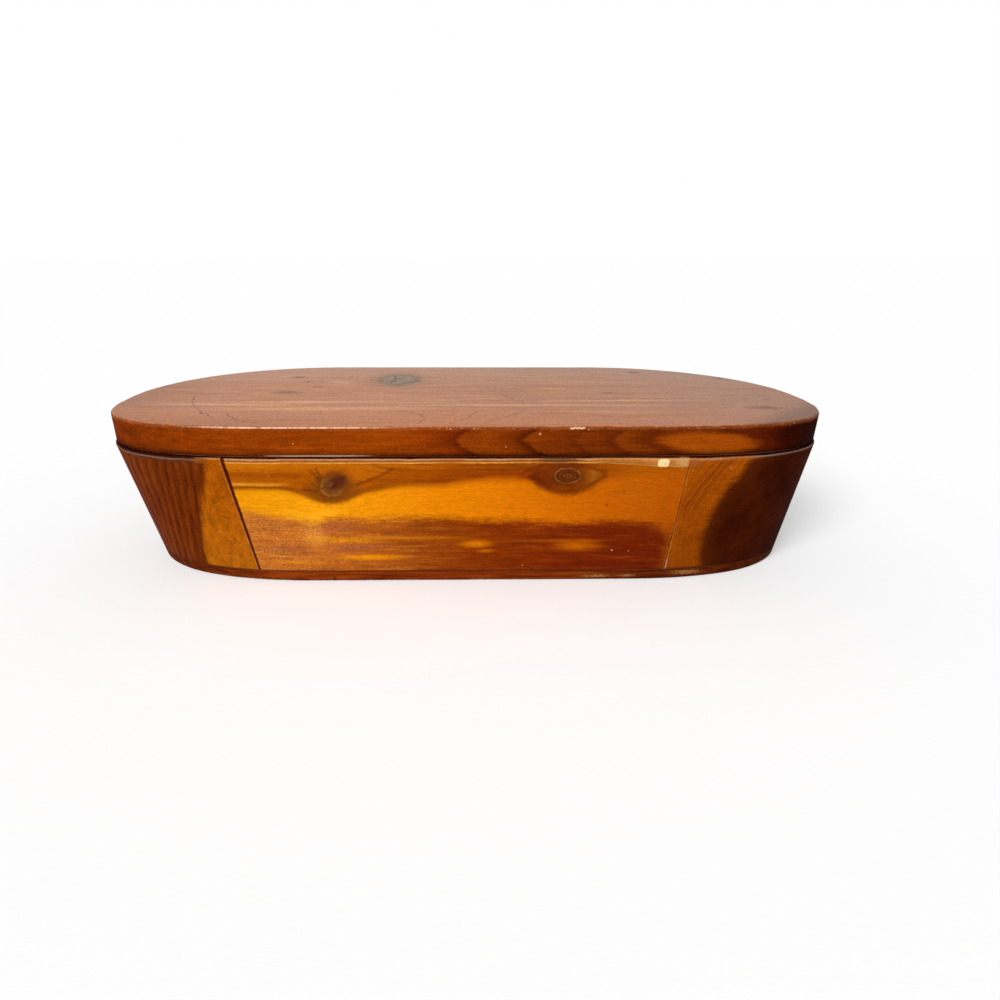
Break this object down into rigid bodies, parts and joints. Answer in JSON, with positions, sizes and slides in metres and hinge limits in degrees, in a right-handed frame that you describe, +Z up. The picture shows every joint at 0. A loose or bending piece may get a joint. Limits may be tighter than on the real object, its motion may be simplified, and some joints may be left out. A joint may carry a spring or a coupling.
{
  "type": "hinged wooden box",
  "caption": "Oval cedar keepsake box with flared, butt-jointed walls, a thin base and a flat solid lid that swings up on small brass butt hinges let into the back.",
  "frame": {"origin": "on the ground, under the middle of the lid", "axes": "+X along the box to its right end, +Y to the back where the hinges are, +Z up"},
  "size_m": [0.3048, 0.1518, 0.0695],
  "materials": {
    "lid_cedar": "red cedar under a worn satin varnish",
    "wall_cedar": "red cedar under a gloss amber varnish",
    "end_cedar": "red cedar end grain under a gloss amber varnish",
    "base_cedar": "red cedar under a gloss amber varnish",
    "hinge_brass": "aged brass",
    "screw_brass": "aged brass",
    "brad_steel": "dull steel"
  },
  "bodies": {
    "box": {"front_wall": "wall_cedar", "back_wall": "wall_cedar", "left_end_block": "end_cedar", "right_end_block": "end_cedar", "base_board": "base_cedar", "left_hinge_box_leaf": "hinge_brass", "right_hinge_box_leaf": "hinge_brass", "left_hinge_pin": "hinge_brass", "right_hinge_pin": "hinge_brass", "box_hinge_screws": "screw_brass", "base_brads": "brad_steel"},
    "lid": {"lid_board": "lid_cedar", "left_hinge_lid_leaf": "hinge_brass", "right_hinge_lid_leaf": "hinge_brass", "lid_hinge_screws": "screw_brass"}
  },
  "joints": [
    {"name": "lid_hinge", "type": "hinge", "parent": "box", "child": "lid", "pos_m": [0, 0.072, 0.0571], "axis": [-1, 0, 0], "range_deg": [0, 100]}
  ]
}
